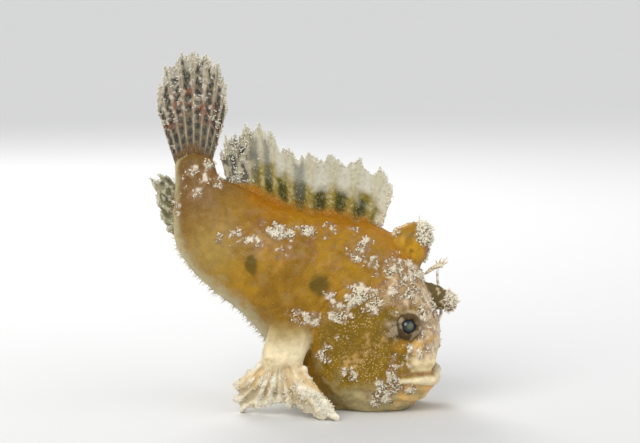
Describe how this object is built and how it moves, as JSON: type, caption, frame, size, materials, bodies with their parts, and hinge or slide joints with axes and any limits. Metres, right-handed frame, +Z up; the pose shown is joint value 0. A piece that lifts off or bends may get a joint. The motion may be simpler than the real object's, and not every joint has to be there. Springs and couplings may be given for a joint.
{
  "type": "painted frogfish",
  "caption": "Life-size still model of a young frogfish standing nose down on hand-like fins, with a raised tail, a frilled dorsal fin, a lure and crusty skin tufts.",
  "frame": {"origin": "on the floor, under the middle of the whole fish's bounding box", "axes": "+Z up, +X towards the side that the snout faces, -Y towards the fish's own right side, which the camera sees"},
  "size_m": [0.0576, 0.0304, 0.0658],
  "materials": {
    "yellow_skin": "moist golden-ochre skin, orange-brown on the back, olive on the cheek, cream on the belly, covered in fine pale pimples",
    "cream_skin": "moist cream-white skin with orange blotches and frayed tips",
    "olive_skin": "moist olive-brown skin with pale dots",
    "striped_fin": "thin yellow-green fin web with dark upright patches, clear towards its white frayed edge",
    "clear_fin": "thin clear fin web between pale rays, with white tufts and a red-brown band",
    "eye": "wet, glossy, nearly black with a green-grey sheen"
  },
  "bodies": {
    "root": {"head": "yellow_skin", "lower_jaw": "cream_skin", "trunk": "yellow_skin", "tail_stalk": "yellow_skin", "eye_right": "eye", "eye_left": "eye", "illicium": "cream_skin", "esca": "cream_skin", "second_dorsal_spine": "olive_skin", "third_dorsal_spine": "yellow_skin", "dorsal_fin": "striped_fin", "caudal_fin": "clear_fin", "anal_fin": "clear_fin", "pectoral_arm_right": "cream_skin", "pectoral_arm_left": "cream_skin", "pectoral_fin_right": "cream_skin", "pectoral_fin_left": "cream_skin", "pelvic_fin_right": "cream_skin", "pelvic_fin_left": "cream_skin"}
  },
  "joints": []
}
